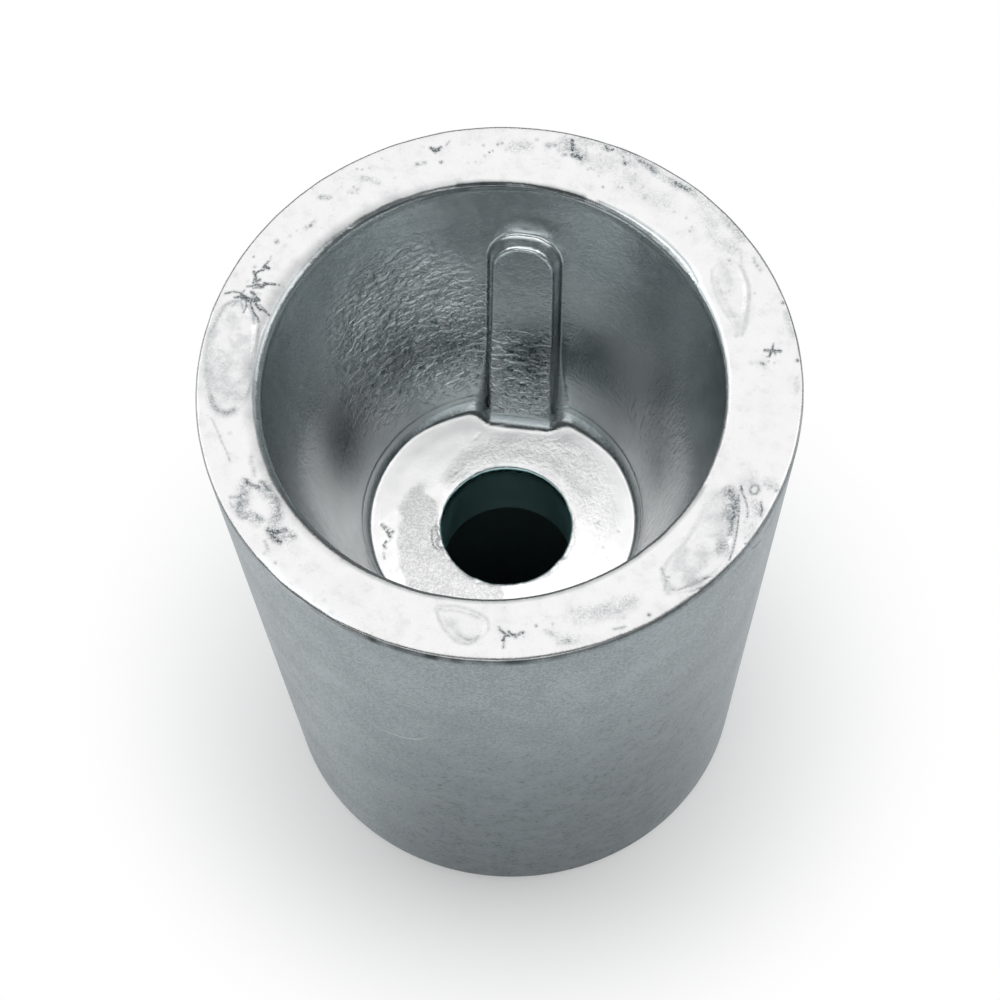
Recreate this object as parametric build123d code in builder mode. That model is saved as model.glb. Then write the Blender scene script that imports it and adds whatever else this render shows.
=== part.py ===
from build123d import *
import math
import os

# Sacrificial anode for the end of a propeller shaft: one zinc casting.
# It stands on its narrow nose with the mouth up. The origin is the centre of the
# nose face, +Z runs up the axis to the mouth, and the key is on the +Y side.

# Outer cone
length = 65.0
mouth_diameter = 60.0
nose_diameter = 45.2
nose_round = 0.9
rim_edge_chamfer = 0.3

# Tapered cavity that goes over the shaft nut, measured to its sharp corners
cavity_depth = 28.5
cavity_mouth_diameter = 46.3
cavity_floor_diameter = 27.3
cavity_floor_fillet = 1.2
cavity_edge_chamfer = 0.4

# The core sat a little to one side in the mould, so the rim is wider towards +X
core_shift = 0.5

# Key on the cavity wall, which keeps the anode from turning on the nut.
# Its width is across the crest, and its end gap is down the wall from the mouth.
key_width = 6.4
key_height = 2.0
key_draft = 17.0
key_end_gap = 6.7
key_end_radius = 2.7
key_crest_round = 0.4

# Fixing screw: its hole through the web, and the recess for its head in the nose
screw_hole_diameter = 13.5
screw_hole_chamfer = 0.3
web_thickness = 9.5
recess_diameter = 23.0
recess_edge_chamfer = 0.6

# Levels, radii and the wall's slope follow from the sizes above
mouth_radius = mouth_diameter / 2
nose_radius = nose_diameter / 2
cavity_mouth_radius = cavity_mouth_diameter / 2
cavity_floor_radius = cavity_floor_diameter / 2
floor_level = length - cavity_depth
web_level = floor_level - web_thickness
wall_angle = math.atan2(cavity_mouth_radius - cavity_floor_radius, cavity_depth)
wall_length = math.hypot(cavity_mouth_radius - cavity_floor_radius, cavity_depth)

# The cavity has its own section plane and axis, moved over with the core
cavity_plane = Plane(origin=(-core_shift, 0, 0), x_dir=(1, 0, 0), z_dir=(0, -1, 0))
cavity_axis = Axis((-core_shift, 0, 0), (0, 0, 1))

# The key is drawn on the plane of its crest, parallel to the wall behind it.
# The plane's Y runs down the wall from the mouth, and its Z points into the wall.
into_wall = Vector(0, math.cos(wall_angle), -math.sin(wall_angle))
crest_origin = Vector(-core_shift, cavity_mouth_radius, length) - into_wall * key_height
crest_plane = Plane(origin=crest_origin, x_dir=(1, 0, 0), z_dir=into_wall)

# Its root is sunk behind the curved wall, and its foot below the floor.
# The fillet at its base is a little wider than the floor's, which runs round its foot.
key_root = key_width / 4
key_foot = wall_length + key_root
key_base_fillet = cavity_floor_fillet + 0.2

with BuildPart() as anode:
    # Outer cone, nose down
    with BuildSketch(Plane.XZ) as cone_section:
        with BuildLine():
            Polyline(
                (0, 0),
                (nose_radius, 0),
                (mouth_radius, length),
                (0, length),
                close=True,
            )
        make_face()
    revolve(axis=Axis.Z)

    # Tapered cavity in the mouth
    with BuildSketch(cavity_plane) as cavity_section:
        with BuildLine():
            Polyline(
                (0, floor_level),
                (cavity_floor_radius, floor_level),
                (cavity_mouth_radius, length),
                (0, length),
                close=True,
            )
        make_face()
    revolve(axis=cavity_axis, mode=Mode.SUBTRACT)

    # Key with a round-cornered top end and drafted sides, standing on the floor
    with BuildSketch(crest_plane) as key_outline:
        with Locations((0, key_end_gap)):
            Rectangle(key_width, key_foot - key_end_gap, align=(Align.CENTER, Align.MIN))
        fillet(key_outline.vertices().group_by(Axis.Y)[0], radius=key_end_radius)
    extrude(amount=key_height + key_root, taper=-key_draft)

    # Rounded crest of the key, the fillet at its base on the wall,
    # and the floor's fillet, which goes on round the key's foot
    crest = anode.faces().filter_by(crest_plane).sort_by(SortBy.AREA)[-1]
    fillet(crest.edges().sort_by(Axis.Z)[1:], radius=key_crest_round)
    wall = anode.faces().filter_by(GeomType.CONE).sort_by(SortBy.AREA)[0]
    fillet(wall.edges().filter_by(GeomType.BSPLINE), radius=key_base_fillet)
    floor = anode.faces().filter_by(Axis.Z).group_by(Axis.Z)[1].sort_by(SortBy.AREA)[-1]
    fillet(floor.edges(), radius=cavity_floor_fillet)

    # Screw hole through the web, entered from the recess in the nose
    with Locations(Plane(origin=(0, 0, 0), x_dir=(1, 0, 0), z_dir=(0, 0, -1))):
        CounterBoreHole(
            radius=screw_hole_diameter / 2,
            counter_bore_radius=recess_diameter / 2,
            counter_bore_depth=web_level,
            depth=floor_level,
        )

    # Edges of the rim, the nose and the screw hole
    rim = anode.faces().filter_by(Axis.Z).sort_by(Axis.Z)[-1]
    chamfer(rim.outer_wire().edges(), length=rim_edge_chamfer)
    rim = anode.faces().filter_by(Axis.Z).sort_by(Axis.Z)[-1]
    chamfer(rim.inner_wires().edges(), length=cavity_edge_chamfer)
    nose = anode.faces().filter_by(Axis.Z).sort_by(Axis.Z)[0]
    fillet(nose.outer_wire().edges(), radius=nose_round)
    nose = anode.faces().filter_by(Axis.Z).sort_by(Axis.Z)[0]
    chamfer(nose.inner_wires().edges(), length=recess_edge_chamfer)
    floor = anode.faces().filter_by(Axis.Z).sort_by(Axis.Z)[-2]
    chamfer(floor.inner_wires().edges(), length=screw_hole_chamfer)

anode.part.label = "anode_casting"

os.makedirs("parts", exist_ok=True)
export_step(anode.part, "parts/anode_casting.step")
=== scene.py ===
import bpy
import bmesh
import itertools
import math
import numpy as np
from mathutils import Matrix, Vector


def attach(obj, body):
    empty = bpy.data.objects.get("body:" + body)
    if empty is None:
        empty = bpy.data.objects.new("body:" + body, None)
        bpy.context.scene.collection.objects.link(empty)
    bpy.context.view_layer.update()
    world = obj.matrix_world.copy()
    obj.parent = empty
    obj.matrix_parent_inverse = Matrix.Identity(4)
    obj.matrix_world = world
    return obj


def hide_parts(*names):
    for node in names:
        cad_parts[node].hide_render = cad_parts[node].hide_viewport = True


# Cast zinc anode, standing on its nose with the mouth up.
# Shapes are worked out in millimetres and written in metres. +Z is up, the key is on the +Y side.

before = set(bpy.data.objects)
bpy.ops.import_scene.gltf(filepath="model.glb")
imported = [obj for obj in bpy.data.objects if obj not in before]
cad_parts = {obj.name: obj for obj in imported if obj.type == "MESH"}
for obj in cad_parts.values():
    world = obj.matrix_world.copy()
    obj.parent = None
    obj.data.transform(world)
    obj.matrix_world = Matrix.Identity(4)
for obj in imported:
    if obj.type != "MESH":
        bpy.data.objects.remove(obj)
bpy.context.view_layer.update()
mm = 0.001
print("frame loaded")


# Shader sums written as Python

class Wire:
    # one output socket, which can be added, multiplied and so on
    def __init__(self, finish, socket):
        self.finish = finish
        self.socket = socket

    def maths(self, operation, *values):
        return self.finish.node("ShaderNodeMath", {"operation": operation}, dict(enumerate(values)))

    def __add__(self, other):
        return self.maths("ADD", self, other)

    def __radd__(self, other):
        return self.maths("ADD", other, self)

    def __sub__(self, other):
        return self.maths("SUBTRACT", self, other)

    def __rsub__(self, other):
        return self.maths("SUBTRACT", other, self)

    def __mul__(self, other):
        return self.maths("MULTIPLY", self, other)

    def __rmul__(self, other):
        return self.maths("MULTIPLY", other, self)

    def most(self, other):
        return self.maths("MAXIMUM", self, other)

    def size(self):
        return self.maths("ABSOLUTE", self)

    def clear(self):
        return self.maths("MINIMUM", self.most(0.0), 1.0)

    def step(self, low, high):
        # 0 at low, 1 at high, smooth between them; low may be the larger
        ends = {"Value": self, "From Min": low, "From Max": high, "To Min": 0.0, "To Max": 1.0}
        return self.finish.node("ShaderNodeMapRange", {"interpolation_type": "SMOOTHSTEP"}, ends)


class Finish:
    # nodes of a material or of the world, under construction
    def __init__(self, holder):
        self.holder = holder
        holder.use_nodes = True
        self.tree = holder.node_tree
        self.tree.nodes.clear()

    def node(self, kind, settings=None, sockets=None, output=0):
        made = self.tree.nodes.new(kind)
        for setting, value in (settings or {}).items():
            setattr(made, setting, value)
        for name, value in (sockets or {}).items():
            socket = made.inputs[name]
            if isinstance(value, Wire):
                self.tree.links.new(value.socket, socket)
            else:
                socket.default_value = value
        return Wire(self, made.outputs[output])

    def mix(self, factor, first, second):
        # two colours
        return self.node("ShaderNodeMix", {"data_type": "RGBA"}, {0: factor, 6: first, 7: second}, 2)

    def noise(self, place, scale, detail=3.0, roughness=0.55, distortion=0.0):
        sockets = {"Vector": place, "Scale": scale, "Detail": detail, "Roughness": roughness}
        return self.node("ShaderNodeTexNoise", {}, {**sockets, "Distortion": distortion})

    def mask(self, name):
        return self.node("ShaderNodeAttribute", {"attribute_name": name}, {}, 2)

    def stretch(self, place, scale, shift=(0.0, 0.0, 0.0), turn=(0.0, 0.0, 0.0)):
        sockets = {"Vector": place, "Location": shift, "Rotation": turn, "Scale": scale}
        return self.node("ShaderNodeMapping", {}, sockets)

    def close(self, surface, kind="ShaderNodeOutputMaterial"):
        out = self.tree.nodes.new(kind)
        self.tree.links.new(surface.socket, out.inputs["Surface"])
        return self.holder


# Casting: sizes in mm, as on the CAD part

casting = {
    "length": 65.0,
    "mouthRadius": 30.0,
    "noseRadius": 22.6,
    "noseRound": 0.8,
    "rimEdge": 0.4,
    "cavityDepth": 28.5,
    "cavityMouthRadius": 23.15,
    "cavityFloorRadius": 13.65,
    "cavityEdge": 0.5,
    "floorFillet": 0.5,
    "farFillet": 0.65,
    "farSide": (8.0, 12.3),
    "holeRadius": 6.6,
    "holeOffset": (0.1, -0.35),
    "holeEdge": 0.3,
    "holeSide": 7.2,
    "web": 9.5,
    "webEdge": 0.3,
    "recessRadius": 11.5,
    "recessEdge": 0.6,
    "coreShiftMouth": 0.7,
    "coreShiftFloor": 0.3,
    "columns": 360,
    # heights where the spacing of the mesh's rows changes, with the rows from there to the next
    "outsideRows": ((59.0, 10), (63.9, 1)),
    "wallRows": ((60.4, 17), (55.8, 24), (41.5, 10), (38.6, 12), (37.2, 8)),
    # the same for radii on the cavity floor
    "floorRows": ((12.4, 6), (10.4, 9)),
    # columns that run beside the key: distances from its middle, and how many between them
    "besideKey": ((0.0, 2.4, 8), (2.4, 4.6, 26), (4.6, 6.0, 7)),
}

# how much the mouth's edge is worn round the rim: degrees from +Y towards +X, times the plain edge
mouthWear = {
    "angle": (-180, -150, -122, -90, -50, -20, 0, 30, 50, 72, 100, 180),
    "amount": (0.6, 1.3, 2.2, 1.9, 1.5, 1.0, 0.9, 1.0, 1.5, 1.0, 0.7, 0.6),
}

# the same for the rim's outer edge, which is worn on the near side
rimWear = {
    "angle": (-180, -165, -150, -130, -100, 0, 80, 105, 130, 160, 180),
    "amount": (1.4, 1.25, 1.0, 0.85, 0.8, 0.85, 0.85, 1.5, 1.75, 1.6, 1.4),
}

# Key on the cavity wall; its base fillet widens towards its foot
key = {
    "width": 6.4,
    "height": 2.0,
    "draft": 17.0,
    "endGap": 6.7,
    "endRadius": 3.1,
    "crestRound": 0.3,
    "baseFillet": 0.3,
    "footFlare": 1.9,
    "flareHeight": 8.0,
    "flarePower": 1.6,
    "ledge": 0.07,
    "ledgeHeight": 1.35,
    "ledgeWidth": 0.2,
}

top = casting["length"]
floorZ = top - casting["cavityDepth"]
webZ = floorZ - casting["web"]
slope = (casting["cavityMouthRadius"] - casting["cavityFloorRadius"]) / casting["cavityDepth"]
wallTilt = math.atan(slope)
# rows where the worn mouth edge ends and where the key's foot begins
edgeRow = casting["wallRows"][0][0]
footRow = casting["wallRows"][3][0]


def wallRadius(z):
    # cavity wall's radius about its own axis at height z
    return casting["cavityFloorRadius"] + (z - floorZ) * slope


def coreShift(z):
    # the core sat to one side, more at the mouth than at the floor
    fromFloor = np.clip((z - floorZ) / casting["cavityDepth"], 0, 1)
    return casting["coreShiftFloor"] + (casting["coreShiftMouth"] - casting["coreShiftFloor"]) * fromFloor


def wearAt(turn, wear):
    return np.interp(turn, wear["angle"], wear["amount"])


def sectionOutline():
    # the casting's half section, as a closed loop of points in the XZ plane.
    # Each line: radius, height, rounding of the corner, its segments, rows on the run that follows
    cone = (casting["mouthRadius"] - casting["noseRadius"]) / top
    runs = [
        (casting["recessRadius"], 0.0, casting["recessEdge"], 2, 3),
        (casting["noseRadius"], 0.0, casting["noseRound"], 5, 12),
        *((casting["noseRadius"] + z * cone, z, 0.0, 0, rows) for z, rows in casting["outsideRows"]),
        (casting["mouthRadius"], top, casting["rimEdge"], 4, 18),
        (casting["cavityMouthRadius"], top, casting["cavityEdge"], 4, 9),
        *((wallRadius(z), z, 0.0, 0, rows) for z, rows in casting["wallRows"]),
        (casting["cavityFloorRadius"], floorZ, 0.0, 0, 8),
        *((r, floorZ, 0.0, 0, rows) for r, rows in casting["floorRows"]),
        (casting["holeRadius"], floorZ, casting["holeEdge"], 3, 5),
        (casting["holeRadius"], webZ, casting["webEdge"], 2, 3),
        (casting["recessRadius"], webZ, 0.0, 0, 3),
    ]
    outline = bmesh.new()
    points = [outline.verts.new((r, 0.0, z)) for r, z, *rest in runs]
    edges = [outline.edges.new((points[i], points[(i + 1) % len(points)])) for i in range(len(points))]
    middles = [(edge.verts[0].co + edge.verts[1].co) / 2 for edge in edges]
    for point, (r, z, rounding, segments, rows) in zip(points, runs):
        if rounding > 0:
            bmesh.ops.bevel(outline, geom=[point], affect="VERTICES", offset=rounding,
                            offset_type="OFFSET", segments=segments, profile=0.5, material=-1)
    # straight runs get their rows, the short edges of a rounded corner don't
    shortestRun, farthest = 0.75, 0.6
    for edge in outline.edges[:]:
        middle = (edge.verts[0].co + edge.verts[1].co) / 2
        nearest = min(range(len(runs)), key=lambda i: (middles[i] - middle).length)
        if edge.calc_length() > shortestRun and (middles[nearest] - middle).length < farthest:
            bmesh.ops.subdivide_edges(outline, edges=[edge], cuts=runs[nearest][4] - 1)
    # number the points along the loop
    rowNumber = outline.verts.layers.int.new("row")
    here = min(outline.verts, key=lambda v: (v.co - Vector((casting["recessRadius"], 0, 10))).length)
    came = None
    order = []
    while not order or (here.co - order[0]).length > 1e-6:
        here[rowNumber] = len(order)
        order.append(here.co.copy())
        came = [e for e in here.link_edges if e is not came][0]
        here = came.other_vert(here)
    return outline, np.array([(p.x, p.z) for p in order])


def columnAngles(reach, count):
    # signed column number to an angle from +Y: columns run parallel to the key's sides near it
    strips = [np.linspace(start, stop, n, endpoint=False) for start, stop, n in casting["besideKey"]]
    near = np.append(np.concatenate(strips), casting["besideKey"][-1][1])
    last = len(near) - 1
    number = np.abs(count)
    steepest = 0.985
    edge = np.arcsin(np.minimum(near[last] / reach, steepest))
    strip = np.arcsin(np.minimum(near[np.minimum(number, last)] / reach, steepest))
    share = (number - last) / (casting["columns"] / 2 - last)
    return np.sign(count) * np.where(number <= last, strip, edge + (math.pi - edge) * share)


def blendLimit(a, b, fillet):
    # larger of two distances, rounded where both are small
    corner = np.sqrt(np.maximum(fillet + a, 0) ** 2 + np.maximum(fillet + b, 0) ** 2)
    return corner + np.minimum(-fillet, np.maximum(a, b))


def smoothStep(value, low, high):
    share = np.clip((value - low) / (high - low), 0, 1)
    return share * share * (3 - 2 * share)


def keyDistances(x, y, z):
    # over the key's crest, outside its outline, and down the wall from the mouth; z is above the floor
    depth = casting["cavityDepth"]
    sine, cosine = math.sin(wallTilt), math.cos(wallTilt)
    inward = (casting["cavityMouthRadius"] - y) * cosine + (z - depth) * sine
    down = (casting["cavityMouthRadius"] - y) * sine - (z - depth) * cosine
    over = inward - key["height"]
    # its long sides lean, its end stands square to the wall
    beside = np.abs(x) - key["width"] / 2 + over * math.tan(math.radians(key["draft"]))
    return over, blendLimit(beside, key["endGap"] - down, key["endRadius"]), down


def metalDepth(x, y, z):
    # below 0 in the cavity's air, above 0 in the metal; z is above the floor
    wall = (np.hypot(x, y) - casting["cavityFloorRadius"] - z * slope) * math.cos(wallTilt)
    over, outline, down = keyDistances(x, y, z)
    keySolid = -blendLimit(over, outline * math.cos(math.radians(key["draft"])), key["crestRound"])
    flare = np.clip(1 - z / key["flareHeight"], 0, 1) ** key["flarePower"]
    solid = blendLimit(wall, keySolid, key["baseFillet"] + key["footFlare"] * flare)
    # the floor's fillet is wider on the far side and round the key's foot
    fillet = casting["floorFillet"] + casting["farFillet"] * smoothStep(y, *casting["farSide"])
    solid = blendLimit(solid, -z, fillet)
    return solid - key["ledge"] * smoothStep(z, key["ledgeHeight"], key["ledgeHeight"] + key["ledgeWidth"])


def castPlaces(radius, height, number):
    # where each point of the turned section goes, from its row's radius and height and its column's number
    mouth, outer = casting["cavityMouthRadius"], casting["mouthRadius"]
    edgeRoom, rayLift, halvings = 4.1, 14.0, 34
    inCavity = (height < top - 0.55) & (height >= floorZ - 1e-4) & (radius > casting["holeRadius"] + 0.4)
    inCavity &= radius < wallRadius(height) + 0.02
    onWall = inCavity & (height > floorZ + 0.01)
    onRim = (height > top - 0.6) & (radius > mouth - 0.3)
    onEdge = np.hypot(radius - mouth, height - top) < 0.56
    onOuterEdge = np.hypot(radius - outer, height - top) < 0.46
    outward = np.clip((radius - mouth - 0.5) / (outer - mouth - 1), 0, 1)
    angle = columnAngles(np.where(inCavity & (radius > 12), radius - 1.0, radius), number)
    across, ahead = np.sin(angle), np.cos(angle)
    # both edges of the rim are worn more in places; the rows beside them make room
    wear = wearAt(np.degrees(angle), mouthWear)
    outerWear = wearAt(np.degrees(angle), rimWear)
    room = (wear - 1) * casting["cavityEdge"]
    outerRoom = (outerWear - 1) * casting["rimEdge"] * outward ** 2
    down = np.where(onWall & (height > edgeRow), room * ((height - edgeRow) / edgeRoom) ** 2, 0.0)
    spread = np.where(onRim, room * (1 - outward) ** 2 - outerRoom * ~onOuterEdge, -down * slope)
    radius = np.where(onEdge, mouth + (radius - mouth) * wear, radius + spread)
    radius = np.where(onOuterEdge, outer + (radius - outer) * outerWear, radius)
    height = np.where(onEdge, top + (height - top) * wear, height - down)
    height = np.where(onOuterEdge, top + (height - top) * outerWear, height)
    # each cavity point slides along its ray from the axis until it meets metal.
    # Rays that reach the key's top end come from higher up, so that they meet its end face
    above = height - floorZ
    fromAbove = rayLift * smoothStep(height, edgeRow, 59.7) * smoothStep(height, 54.5, 56.9)
    start = np.where(onWall & (height > footRow), above + radius * slope + fromAbove,
                     wallRadius(footRow) * slope + footRow - floorZ)
    low = np.full(len(radius), 0.35)
    high = np.full(len(radius), 1.15)
    for halving in range(halvings):
        middle = (low + high) / 2
        out = radius * middle
        metal = metalDepth(out * across, out * ahead, start + (above - start) * middle) > 0
        high = np.where(metal, middle, high)
        low = np.where(metal, low, middle)
    radius = np.where(inCavity, radius * high, radius)
    height = np.where(inCavity, start + (above - start) * high, above) + floorZ
    # how far each point follows the core to the side, and the drill, which wandered from the axis
    share = np.where(inCavity & (height > floorZ + 0.05), 1.0, 0.0)
    share = np.where(onRim, 1 - outward, share)
    onFloor = (height <= floorZ + 0.05) & (height > webZ + 0.5) & (radius < 14)
    share = np.where(onFloor, np.clip((radius - casting["holeSide"]) / 4, 0, 1), share)
    inHole = (height > webZ + 2) & (height < floorZ + 0.05)
    drill = np.where(inHole, 1 - smoothStep(radius, casting["holeSide"], 11.0), 0.0)
    aside, forward = casting["holeOffset"]
    x = radius * across - coreShift(height) * share + aside * drill
    return np.stack([x, radius * ahead + forward * drill, height], axis=1)


def spinCasting():
    outline, rows = sectionOutline()
    count = casting["columns"]
    bmesh.ops.spin(outline, geom=outline.verts[:] + outline.edges[:], cent=(0, 0, 0), axis=(0, 0, 1),
                   dvec=(0, 0, 0), angle=math.tau, steps=count, use_merge=True, use_duplicate=False)
    bmesh.ops.remove_doubles(outline, verts=outline.verts, dist=1e-4)
    bmesh.ops.recalc_face_normals(outline, faces=outline.faces)
    rowNumber = outline.verts.layers.int["row"]
    place = np.array([v.co[:] for v in outline.verts])
    row = np.array([v[rowNumber] for v in outline.verts])
    number = np.round(np.arctan2(place[:, 0], place[:, 1]) / (math.tau / count)).astype(int)
    for vertex, spot in zip(outline.verts, castPlaces(rows[row, 0], rows[row, 1], number)):
        vertex.co = spot
    return outline


# Marks on the rim, x and y in mm

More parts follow.
